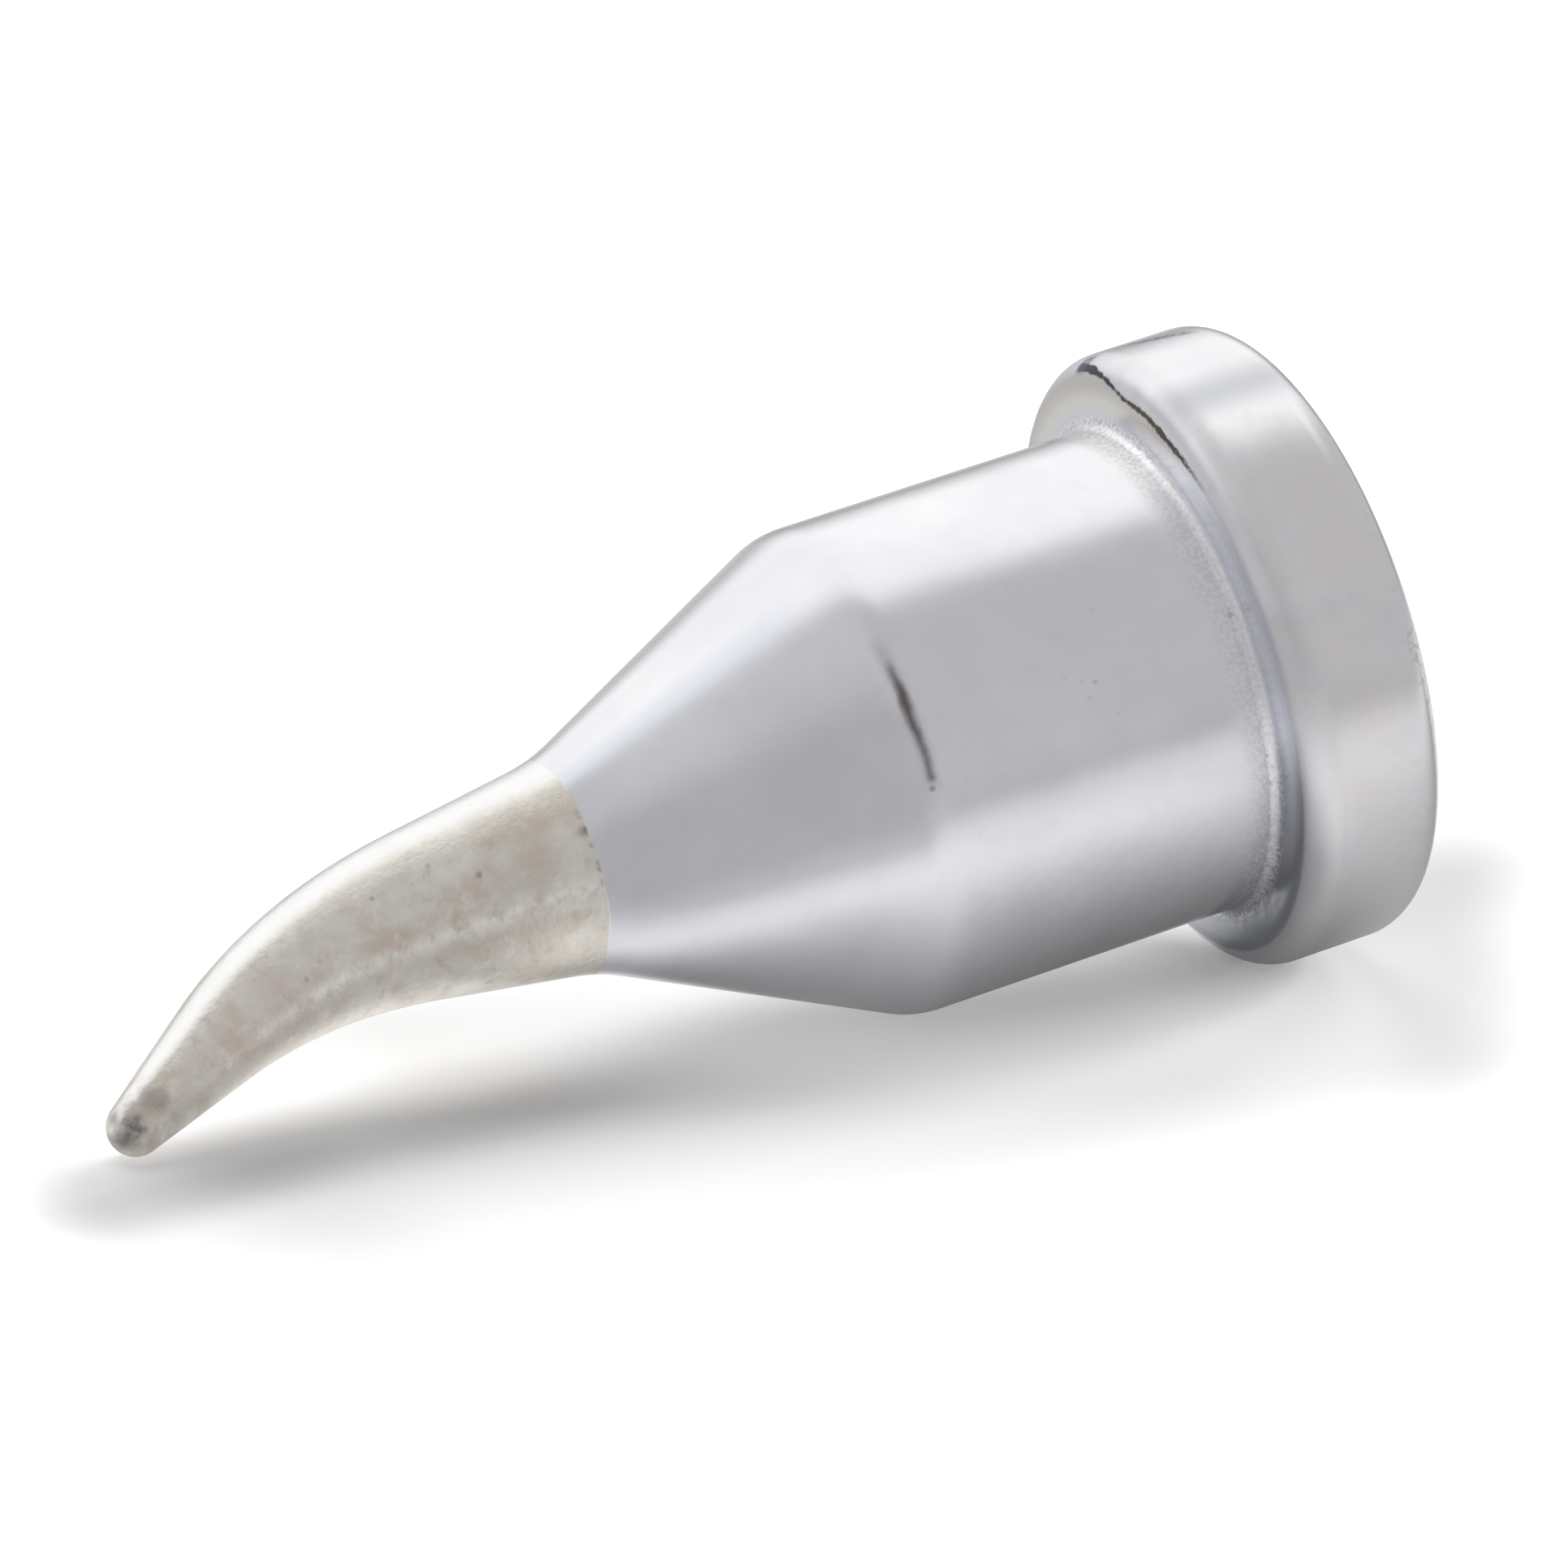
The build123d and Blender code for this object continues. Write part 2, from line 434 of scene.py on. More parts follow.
# Ring colours: the low one is painted shade and the front one is painted light
RING_PAINTED_SHADE = (0.40, 0.42, 0.46, 1)
RING_PAINTED_LIGHT = (0.84, 0.86, 0.92, 1)
RING_TOP = (0.60, 0.60, 0.64, 1)
RING_TOP_OUTSIDE = (0.60, 0.58, 0.545, 1)
CRYSTAL_PAINTED_GLINT = (0.94, 0.95, 0.97, 1)
CRYSTAL_PAINTED_SHADE = (0.53, 0.56, 0.61, 1)
ROOT_GROOVE_PAINTED_SHADE = (0.30, 0.31, 0.36, 1)
FLECK_BROWN = (0.55, 0.52, 0.47, 1)
RUST = (0.60, 0.36, 0.27, 1)
DRILLED_METAL = (0.46, 0.43, 0.41, 1)
TIN_SHADE = (0.66, 0.62, 0.55, 1)
TIN_LIGHT = (0.765, 0.735, 0.68, 1)
TIN_PINKISH = (0.655, 0.56, 0.485, 1)
TIN_CRUMB = (0.84, 0.82, 0.78, 1)
TIN_HOLLOW = (0.53, 0.475, 0.415, 1)
TIN_STREAK = (0.93, 0.915, 0.885, 1)
TIN_PINK_SPOT = (0.60, 0.46, 0.40, 1)
TIN_PAINTED_SHADE_BAND = (0.50, 0.495, 0.475, 1)
TIN_PAINTED_HIGHLIGHT = (0.80, 0.805, 0.83, 1)
TIN_STAIN = (0.44, 0.385, 0.335, 1)
TIN_PIT = (0.20, 0.175, 0.16, 1)
SMEAR_GREY = (0.30, 0.29, 0.32, 1)
SCRATCH_RUST = (0.40, 0.27, 0.22, 1)
SCRATCH_BLACK = (0.10, 0.083, 0.085, 1)
EDGE_BROWN = (0.11, 0.09, 0.075, 1)
EDGE_PAINTED_DARK_REFLECTION = (0.05, 0.055, 0.08, 1)
EDGE_BEIGE = (0.58, 0.49, 0.40, 1)
RIM_PAINTED_DARK_REFLECTION = (0.13, 0.15, 0.20, 1)
FLUX_BROWN = (0.19, 0.17, 0.15, 1)
SOOT = (0.15, 0.145, 0.175, 1)
SOOT_BROWN = (0.21, 0.185, 0.16, 1)
THUMB_GREY = (0.33, 0.32, 0.36, 1)
LOW_EDGE_PAINTED_SHADE = (0.36, 0.36, 0.39, 1)

# Patterns of the finish: scale for each millimetre, detail, roughness and seed
PLATING_CLOUDS = (0.55, 3.0, 0.55, 1.0)
HANDLING = (1.7, 5.0, 0.68, 33.0)
COLLAR_CLOUDS = (1.3, 4.0, 0.6, 32.0)
CRYSTALS = (18.0, 3.0, 0.65, 31.0)
GROOVE_SHADE_BLOTCHES = (5.0, 3.0, 0.6, 34.0)
FLECKS = (4.0, 2.0, 0.5, 3.0)
TIN_BLOTCHES = (1.3, 5.0, 0.62, 5.0)
TIN_TONES = (0.9, 4.0, 0.6, 12.0)
TIN_CRUMBS = (3.6, 5.0, 0.7, 6.0)
STREAK_SWERVE = (0.8, 2.0, 0.5, 14.0)
STREAK_PATCHES = (3.4, 3.0, 0.6, 15.0)
END_STAIN = (2.8, 3.0, 0.6, 17.0)
TIN_WANDER = (1.1, 3.0, 0.55, 2.0)
WOBBLE = (1.6, 2.0, 0.5, 20.0)
RAGGED_EDGE = (9.0, 2.0, 0.5, 21.0)
FLUX_CRUMBS = (5.0, 3.0, 0.6, 22.0)
SOOT_DRIFT = (2.6, 3.0, 0.6, 23.0)
SOOT_PATCHES = (6.0, 3.0, 0.6, 24.0)
ORANGE_PEEL = (1.6, 2.0, 0.5, 8.0)
TIN_GRAIN = (9.0, 4.0, 0.65, 9.0)
BEAD_GRAINS = (22.0, 3.0, 0.65, 30.0)

# Faint rusty specks on the barrel: station and turn, reach in millimetres, how dark
RUST_SPECKS = [
    ((4.17, 53.8), 0.05, 0.45),
    ((4.34, 54.8), 0.05, 0.25),
    ((4.31, 50.8), 0.05, 0.25),
    ((3.98, 45.6), 0.05, 0.13),
    ((3.84, 69.4), 0.06, 0.13),
    ((4.55, 57.0), 0.05, 0.13),
]

# Pinkish spots in the tin: station and turn, reach in millimetres, how strong
PINK_SPOTS = [
    ((13.55, 3.0), 0.17, 0.45),
    ((12.75, -12.0), 0.13, 0.3),
    ((14.60, 8.0), 0.14, 0.3),
    ((11.25, 61.0), 0.45, 0.35),
    ((11.95, 60.0), 0.40, 0.25),
    ((15.30, 52.0), 0.55, 0.3),
]

# Small pits in the tin: station and turn, reach in millimetres, how dark
TIN_PITS = [
    ((12.05, 63.8), 0.065, 0.5),
    ((12.59, 81.7), 0.055, 0.35),
    ((13.44, 78.0), 0.05, 0.4),
    ((14.80, 50.0), 0.06, 0.3),
    ((12.15, -14.0), 0.08, 0.3),
    ((10.62, 66.0), 0.12, 0.4),
    ((10.52, 25.4), 0.05, 0.5),
]

# Places of the marks: stations, turns, and how wide, deep or rough they are
COLLAR_FRONT = SIZES["Collar width"]
TIN_START = 10.52
TIN_EDGE = 0.012
SCRATCH_STATION = 6.65
SCRATCH_TURNS = (43.4, 45.2, 71.0, 74.5)
SCRATCH_HALF = 0.042
SMEAR_TURNS = (41.0, 46.0, 75.0, 82.0)
FLUX_TURNS = (30.0, 45.0, 72.0, 84.0)
TIN_HIGHLIGHT_TURNS = (95.0, 113.0, 127.0, 145.0)
EDGE_ROUND_MIDDLE = (1.55, 3.70)
SCRATCH_DOT = ((6.67, 42.7), 0.06)
SOOT_SPOT = ((17.88, 60.0), 0.27)
SOOT_BROWN_SPOT = ((17.45, 70.0), 0.28)
THUMB_SPOT = ((0.12, 38.0), 0.24)
PLATING_ROUGH = 0.22
TIN_ROUGH = 0.32
ROUND_EDGE_ROUGH = 0.36
DULL_ROUGH = 0.5


def finish_sheet(name):
    material = bpy.data.materials.new(name)
    material.use_nodes = True
    material.node_tree.nodes.clear()
    return material, Sheet(material.node_tree)


def mixed(sheet, share, a, b, kind="RGBA"):
    """a where the share is 0, b where it is 1."""
    mix = sheet.node("ShaderNodeMix", {"data_type": kind})
    sockets = {"FLOAT": (0, 2, 3, 0), "RGBA": (0, 6, 7, 2)}[kind]
    for place, value in zip(sockets[:3], (share, a, b)):
        sheet.wire(value, mix.inputs[place])
    return mix.outputs[sockets[3]]


def spot(sheet, place, middle, reach):
    """1 in a round spot at a station and turn, fading to its reach in millimetres."""
    along, turn, out = place
    run = sheet.sub(along, middle[0])
    round_run = sheet.mul(sheet.sub(turn, middle[1]), pi / 180, out)
    return sheet.ramp(sheet.size(run, round_run), 0.25 * reach, reach, 1.0, 0.0)


def spotted(sheet, place, colour, spots, paint):
    """The colour with each listed spot painted on it."""
    for middle, reach, depth in spots:
        colour = mixed(sheet, sheet.mul(spot(sheet, place, middle, reach), depth), colour, paint)
    return colour


def clouded_plating(sheet, where, place):
    """Cool bright plating with faint clouds, greyer where it is handled."""
    along = place[0]
    colour = mixed(sheet, sheet.clouds(where, PLATING_CLOUDS, 0.35, 0.7), PLATING_SHADE, PLATING_LIGHT)
    handled = sheet.mul(sheet.clouds(where, HANDLING, 0.50, 0.66), sheet.ramp(along, 2.6, 1.9, 0.12, 0.36))
    return mixed(sheet, handled, colour, HANDLED_GREY)


def warm_clouds_and_painted_bands(sheet, where, place, colour):
    """Warm clouds on the collar, and a painted reflection: a darker, cooler band along the top of the collar
    and of the cone.
    """
    along, turn, _ = place
    on_collar = sheet.ramp(along, COLLAR_FRONT, COLLAR_FRONT - 0.3)
    on_rim = sheet.ramp(along, 0.02, 0.25)
    seen_side = sheet.ramp(turn, 98.0, 80.0, 0.25, 0.85)
    warm = sheet.mul(on_collar, sheet.clouds(where, COLLAR_CLOUDS, 0.40, 0.62, 0.25, 1.0), seen_side)
    colour = mixed(sheet, warm, colour, COLLAR_WARM)
    # Painted reflection: a darker, cooler band across the highlight on top of the collar and of the cone
    collar_reflection_band = sheet.mul(on_collar, sheet.band(turn, 101.0, 4.5, 4.5), on_rim, 0.85)
    colour = mixed(sheet, collar_reflection_band, colour, COLLAR_PAINTED_REFLECTION)
    cone_reflection_band = sheet.mul(sheet.ramp(along, 6.9, 7.8), sheet.band(turn, 98.5, 5.5, 4.5), 0.95)
    return mixed(sheet, cone_reflection_band, colour, CONE_PAINTED_REFLECTION)


def root_ring(sheet, place, colour):
    """The ring of plating round the barrel on the collar's front face: grey painted shade low down, bright
    painted light in front.
    """
    along, turn, out = place
    outer_edge = sheet.ramp(turn, 112.0, 137.0, 3.85, 4.03)
    inside_edge = sheet.ramp(out, sheet.add(outer_edge, 0.03), sheet.sub(outer_edge, 0.02))
    on_face = sheet.mul(sheet.band(along, COLLAR_FRONT, 0.09, 0.05), sheet.ramp(out, 3.28, 3.36))
    # Painted shade low down, turning to painted light in front
    tint = mixed(sheet, sheet.ramp(turn, 17.0, 40.0), RING_PAINTED_SHADE, RING_PAINTED_LIGHT)
    tint = mixed(sheet, sheet.ramp(turn, 86.0, 118.0), tint, RING_TOP)
    outside = sheet.mul(sheet.ramp(turn, 88.0, 104.0), sheet.ramp(out, 3.42, 3.66))
    tint = mixed(sheet, outside, tint, RING_TOP_OUTSIDE)
    return mixed(sheet, sheet.mul(on_face, inside_edge, 0.9), colour, tint)


def crystal_root(sheet, where, place, colour):
    """Crystals of plating along the root of the collar with painted glints and painted shade specks on them,
    and painted shade in the root groove low down.
    """
    along, turn, out = place
    over_top = sheet.ramp(turn, 86.0, 108.0, 0.45, 1.0)
    speckled = sheet.most(over_top, sheet.ramp(turn, 8.0, -4.0))
    near_root = sheet.ramp(root_distance(sheet, SIZES, along, out), 0.2, 0.62, 1.0, 0.0)
    below_face = sheet.mul(sheet.ramp(out, 3.52, 3.40), sheet.ramp(out, 3.46, 3.34))
    crystals = sheet.noise(where, *CRYSTALS)
    glint = sheet.mul(near_root, speckled, below_face)
    # Painted glints in white and painted shade in grey specks over the crystals, strongest over the top
    colour = mixed(sheet, sheet.mul(glint, sheet.ramp(crystals, 0.56, 0.44), 0.8), colour, CRYSTAL_PAINTED_GLINT)
    colour = mixed(sheet, sheet.mul(glint, sheet.ramp(crystals, 0.55, 0.64), 0.2), colour, CRYSTAL_PAINTED_SHADE)
    # Painted shade: dark blotches in the root groove, on the lower side only
    in_groove = sheet.mul(sheet.band(along, 2.12, 0.04, 0.05), sheet.ramp(out, 3.5, 3.4))
    groove_shade = sheet.mul(sheet.clouds(where, GROOVE_SHADE_BLOTCHES, 0.55, 0.66), in_groove, sheet.ramp(turn, 90.0, 82.0))
    return mixed(sheet, sheet.mul(groove_shade, 0.55), colour, ROOT_GROOVE_PAINTED_SHADE)


def plating_look(sheet, where, place):
    """The plating of the collar, barrel and cone, without the dark marks. Returns its colour."""
    colour = clouded_plating(sheet, where, place)
    colour = warm_clouds_and_painted_bands(sheet, where, place, colour)
    colour = root_ring(sheet, place, colour)
    colour = crystal_root(sheet, where, place, colour)
    flecks = sheet.mul(sheet.clouds(where, FLECKS, 0.70, 0.78), 0.18)
    colour = mixed(sheet, flecks, colour, FLECK_BROWN)
    return spotted(sheet, place, colour, RUST_SPECKS, RUST)


def pale_streak(sheet, where, place):
    """A broken pale streak that swerves along the side of the nose."""
    along, turn, _ = place
    swerve = sheet.mul(sheet.swing(where, STREAK_SWERVE), 16.0)
    middle = sheet.add(swerve, sheet.ramp(along, 11.0, 14.5, 36.0, 30.0))
    streak = sheet.mul(sheet.band(turn, middle, 6.0, 8.0), sheet.ramp(along, 16.2, 14.6))
    return sheet.mul(streak, sheet.clouds(where, STREAK_PATCHES, 0.32, 0.58), 0.9)


def tin_look(sheet, where, place):
    """Warm grey tin in pinkish and greenish blotches with pale streaks and small pits, and a painted
    highlight on top above a band of painted shade. Returns its colour.
    """
    along, turn, _ = place
    colour = mixed(sheet, sheet.clouds(where, TIN_BLOTCHES, 0.36, 0.62), TIN_SHADE, TIN_LIGHT)
    seen_side = sheet.mul(sheet.ramp(turn, 94.0, 76.0), sheet.ramp(turn, 5.0, 40.0, 0.15, 0.9))
    pinkish = sheet.mul(sheet.clouds(where, TIN_TONES, 0.42, 0.60), seen_side)
    colour = mixed(sheet, pinkish, colour, TIN_PINKISH)
    crumb = sheet.noise(where, *TIN_CRUMBS)
    colour = mixed(sheet, sheet.mul(sheet.ramp(crumb, 0.50, 0.66), 0.55), colour, TIN_CRUMB)
    colour = mixed(sheet, sheet.mul(sheet.ramp(crumb, 0.46, 0.34), 0.5), colour, TIN_HOLLOW)
    colour = mixed(sheet, pale_streak(sheet, where, place), colour, TIN_STREAK)
    colour = spotted(sheet, place, colour, PINK_SPOTS, TIN_PINK_SPOT)
    # Painted shade: a darker band along the lower edge of the highlight
    colour = mixed(sheet, sheet.mul(sheet.band(turn, 96.0, 5.0, 6.0), 0.42), colour, TIN_PAINTED_SHADE_BAND)
    # Painted highlight: paler, more neutral tin along the top where the light falls
    painted_highlight = sheet.mul(sheet.between(turn, *TIN_HIGHLIGHT_TURNS), 0.85)
    colour = mixed(sheet, painted_highlight, colour, TIN_PAINTED_HIGHLIGHT)
    stain = sheet.mul(sheet.ramp(along, 17.1, 17.7), sheet.clouds(where, END_STAIN, 0.38, 0.6), 0.6)
    colour = mixed(sheet, stain, colour, TIN_STAIN)
    return spotted(sheet, place, colour, TIN_PITS, TIN_PIT)


def scratch_marks(sheet, place, wobble, ragged):
    """A fine dark scratch across the shoulder with a rusty side, and a faint smear on both sides of it."""
    along, turn, _ = place
    middle = sheet.add(SCRATCH_STATION, sheet.mul(wobble, 0.12))
    smear = sheet.mul(sheet.band(along, middle, 0.08, 0.08), sheet.between(turn, *SMEAR_TURNS), 0.33)
    on_side = sheet.band(along, sheet.add(middle, 0.05), 0.02, 0.03)
    rusty_side = sheet.mul(on_side, sheet.band(turn, 63.0, 6.0, 4.0), 0.3)
    thicker = sheet.mul(sheet.band(turn, 63.5, 2.5, 3.5), 0.024)
    half = sheet.add(SCRATCH_HALF, thicker, sheet.mul(ragged, 0.05))
    depth = sheet.add(sheet.ramp(turn, 73.0, 65.0, 0.5, 0.86), sheet.ramp(turn, 58.0, 51.0, 0.0, -0.2))
    line = sheet.mul(sheet.band(along, middle, half, 0.055), sheet.between(turn, *SCRATCH_TURNS), depth)
    dot = sheet.mul(spot(sheet, place, *SCRATCH_DOT), 0.45)
    return [
        (smear, SMEAR_GREY),
        (rusty_side, SCRATCH_RUST),
        (sheet.most(line, dot), SCRATCH_BLACK),
    ]


def edge_angle(sheet, place):
    """Degrees round the collar's front edge: 0 at its front face and 90 at its rim."""
    along, _, out = place
    return sheet.degrees(sheet.sub(out, EDGE_ROUND_MIDDLE[1]), sheet.sub(along, EDGE_ROUND_MIDDLE[0]))


def edge_mark(sheet, place, wobble, ragged):
    """A dark line where the collar's front face turns into its rim: brown in front, and blue-black on top,
    where it is a painted dark reflection.
    """
    along, turn, _ = place
    middle = sheet.add(sheet.ramp(turn, 112.0, 137.0, 17.0, 47.0), sheet.mul(wobble, 8.0))
    brown_part = sheet.mul(sheet.band(turn, 99.0, 6.0, 7.0), 2.6)
    half = sheet.add(3.8, brown_part, sheet.ramp(turn, 124.0, 133.0, 0.0, 5.0), sheet.mul(ragged, 13.0))
    fade = sheet.mul(sheet.ramp(turn, 80.0, 92.0, 0.14, 0.97), sheet.between(turn, 18.0, 30.0, 137.0, 140.0))
    on_round = sheet.ramp(along, 1.6, 1.65)
    line = sheet.mul(sheet.band(edge_angle(sheet, place), middle, half, 2.2), fade, on_round)
    # Brown in front; the blue-black on top is a painted dark reflection
    colour = mixed(sheet, sheet.ramp(turn, 108.0, 122.0), EDGE_BROWN, EDGE_PAINTED_DARK_REFLECTION)
    beige = sheet.mul(sheet.ramp(ragged, 0.0, 0.1), sheet.ramp(turn, 96.0, 89.0))
    return line, mixed(sheet, beige, colour, EDGE_BEIGE)


def rim_painted_reflection(sheet, place, wobble, ragged):
    """The painted dark reflection of that line, which goes on from its end over the top of the rim and is
    fainter there.
    """
    along, turn, out = place
    middle = sheet.add(sheet.ramp(along, 0.2, 2.0, 126.0, 136.5), sheet.mul(wobble, 1.6))
    on_rim = sheet.mul(sheet.ramp(along, 0.42, 0.65), sheet.ramp(along, 1.5, 1.15, 0.3, 0.9))
    on_round = sheet.mul(sheet.ramp(along, 1.62, 1.74), 0.85)
    broken = sheet.mul(sheet.ramp(ragged, -0.2, 0.1, 0.55, 1.0), sheet.ramp(along, 1.97, 1.9))
    depth = sheet.mul(sheet.most(on_rim, on_round), broken, sheet.ramp(out, 3.9, 4.0))
    # Painted dark reflection along the top of the rim
    return sheet.mul(sheet.band(turn, middle, 1.9, 1.3), depth), RIM_PAINTED_DARK_REFLECTION


def smudge_marks(sheet, where, place, tin_line):
    """Flux caught at the start of the tin, soot at the nose end, a smudge on the collar's rear edge, and
    painted shade on the low part of its front edge.
    """
    along, turn, out = place
    crumbs = sheet.clouds(where, FLUX_CRUMBS, 0.46, 0.62)
    at_line = sheet.band(along, sheet.add(tin_line, 0.02), 0.025, 0.03)
    caught = sheet.mul(at_line, crumbs, sheet.between(turn, *FLUX_TURNS), 0.6)
    drift = sheet.swing(where, SOOT_DRIFT)
    patches = sheet.clouds(where, SOOT_PATCHES, 0.30, 0.60, 0.3, 1.0)
    drifted = (sheet.add(along, sheet.mul(drift, 0.5)), sheet.add(turn, sheet.mul(drift, 110.0)), out)
    soot = sheet.mul(spot(sheet, drifted, *SOOT_SPOT), patches, 0.85)
    brown = sheet.mul(spot(sheet, drifted, *SOOT_BROWN_SPOT), patches, 0.42)
    thumb = sheet.mul(spot(sheet, drifted, *THUMB_SPOT), sheet.ramp(out, 3.85, 4.0), 0.36)
    # Painted shade: the low part of the collar's front edge darker, as it mirrors the floor's shadow
    low_side = sheet.mul(sheet.band(turn, 4.0, 8.0, 12.0), sheet.ramp(along, 1.5, 1.62), 0.5)
    low_edge_shade = sheet.mul(sheet.band(edge_angle(sheet, place), 48.0, 16.0, 22.0), low_side)
    return [
        (caught, FLUX_BROWN),
        (soot, SOOT),
        (brown, SOOT_BROWN),
        (thumb, THUMB_GREY),
        (low_edge_shade, LOW_EDGE_PAINTED_SHADE),
    ]


def dark_marks(sheet, where, place, tin_line):
    """The dark marks, each with its colour: marks of use and handling, and painted dark reflections and shade
    on the collar.
    """
    wobble, ragged = sheet.swing(where, WOBBLE), sheet.swing(where, RAGGED_EDGE)
    marks = scratch_marks(sheet, place, wobble, ragged)
    marks.append(edge_mark(sheet, place, wobble, ragged))
    marks.append(rim_painted_reflection(sheet, place, wobble, ragged))
    return marks + smudge_marks(sheet, where, place, tin_line)


def fine_relief(sheet, where, place, tinned):
    """Orange peel on the plating, grain in the tin and fine grains over the root bead, as a bump."""
    along, turn, out = place
    peel = sheet.mul(sheet.noise(where, *ORANGE_PEEL), 0.35)
    height = mixed(sheet, tinned, peel, sheet.noise(where, *TIN_GRAIN), "FLOAT")
    relief = sheet.node("ShaderNodeBump", Strength=0.25, Distance=0.00004, Height=height).outputs[0]
    near_root = sheet.ramp(root_distance(sheet, SIZES, along, out), 0.12, 0.5, 1.0, 0.0)
    frosted = sheet.most(sheet.ramp(turn, 82.0, 118.0, 0.4, 1.0), sheet.ramp(turn, 12.0, -4.0))
    below_face = sheet.ramp(out, 3.50, 3.36)
    grains = sheet.mul(sheet.noise(where, *BEAD_GRAINS), near_root, frosted, below_face)
    bump = {"Strength": 0.38, "Distance": 0.00003, "Height": grains, "Normal": relief}
    return sheet.node("ShaderNodeBump", **bump).outputs[0]


def plated_and_tinned():
    """The one finish of the tip, painted by each point's place on the turned form before the bend."""
    material, sheet = finish_sheet("bright_plating_and_tin")
    where = sheet.node("ShaderNodeAttribute", {"attribute_name": PLACE_ATTRIBUTE}).outputs["Vector"]
    along, toward_bend, aside = sheet.parts(where)
    out = sheet.size(toward_bend, aside)
    turn = sheet.degrees(aside, toward_bend)
    place = (along, turn, out)

    # The tin begins at a slightly wandering line round the neck
    wander = sheet.mul(sheet.noise(where, *TIN_WANDER), 0.13)
    tin_line = sheet.add(TIN_START, wander, sheet.ramp(turn, 25.0, -10.0, 0.0, 0.05))
    tinned = sheet.ramp(along, sheet.sub(tin_line, TIN_EDGE), sheet.add(tin_line, TIN_EDGE))
    base = mixed(sheet, tinned, plating_look(sheet, where, place), tin_look(sheet, where, place))
    rough = mixed(sheet, tinned, PLATING_ROUGH, TIN_ROUGH, "FLOAT")

    # The collar's front edge and its root are duller than the turned faces
    on_edge = sheet.mul(sheet.ramp(along, 1.45, 1.65), sheet.ramp(out, 3.62, 3.75))
    at_root = sheet.mul(sheet.between(along, 1.95, 2.02, 2.3, 2.6), sheet.ramp(out, 3.5, 3.36))
    rough = mixed(sheet, sheet.most(on_edge, at_root), rough, ROUND_EDGE_ROUGH, "FLOAT")

    # The heater bore is left as drilled, dull and darker
    in_bore = sheet.mul(sheet.ramp(out, 2.72, 2.66), sheet.ramp(along, 6.6, 6.5))
    marks = [(in_bore, DRILLED_METAL)] + dark_marks(sheet, where, place, tin_line)
    for mask, colour in marks:
        base = mixed(sheet, mask, base, colour)
        rough = mixed(sheet, mask, rough, DULL_ROUGH, "FLOAT")

    relief = fine_relief(sheet, where, place, tinned)
    looks = {"Base_Color": base, "Metallic": 1.0, "Roughness": rough, "Normal": relief}
    metal = sheet.node("ShaderNodeBsdfPrincipled", **looks)
    sheet.node("ShaderNodeOutputMaterial", Surface=metal.outputs[0])
    return material


tip = made_tip(plated_and_tinned())
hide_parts("soldering_tip")
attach(tip, "root")


# Floor, light and camera. The floor's places are millimetres to the right of the tip's middle and behind it.
WHITE = (1, 1, 1, 1)
PAPER_WHITE = (0.85, 0.85, 0.85, 1)
ROOM_WHITE = (0.995, 0.99, 1.0, 1)
MIRRORED_LAMP_COLOUR = (1.0, 0.99, 0.94)
FLOOR_LAMP_COLOUR = (1.0, 1.0, 1.0)
FLOOR_REACH = 0.4
FILL_LEVEL = 0.06
PHOTO_PIXELS = 1932
FOCAL_PIXELS = 13179.397
SENSOR_WIDTH = 36.0
CAMERA_AZIMUTH, CAMERA_ELEVATION, CAMERA_LEAN = -23.98, 16.31, -0.779
CAMERA_PLACE = (-0.052377, -0.119890, 0.041544)


def mirrored_floor(sheet, rightward, backward):
    """How bright the floor looks in the metal, painted in place of its lit paper: a painted shadow dark
    beneath the tip, brightest a few millimetres in front.
    """
    brightest = sheet.add(
        sheet.ramp(rightward, -2.2, 1.2, 1.5, 6.6),
        sheet.ramp(rightward, 1.2, 4.5, 0.0, 1.4),
        sheet.ramp(rightward, 7.5, 10.5, 0.0, 3.0),
    )
    nearness = sheet.div(sheet.mul(backward, -1.0), brightest)
    # Painted shadow: how dark the floor looks in the metal right beneath the tip
    beneath = sheet.add(
        sheet.ramp(rightward, -4.6, -0.3, 1.1, 0.29),
        sheet.ramp(rightward, 1.0, 3.0, 0.0, -0.1),
        sheet.ramp(rightward, 7.8, 9.4, 0.0, 0.28),
    )
    at_brightest = sheet.add(
        sheet.ramp(rightward, 8.0, 9.5, 1.07, 0.97),
        sheet.ramp(rightward, -3.4, -1.6, -0.46, 0.0),
    )
    far_front = sheet.ramp(rightward, -3.4, -1.6, 0.95, 0.62)
    front = sheet.mul(
        sheet.ramp(nearness, 0.05, 0.97, beneath, at_brightest),
        sheet.ramp(nearness, 0.95, 3.1, 1.0, far_front),
        sheet.ramp(backward, 0.6, 2.4, 1.0, 0.3),
    )
    behind = sheet.mul(sheet.ramp(backward, -0.8, 1.6, 0.0, 0.95), sheet.ramp(backward, 6.0, 40.0, 1.0, 0.78))
    return sheet.most(front, behind)


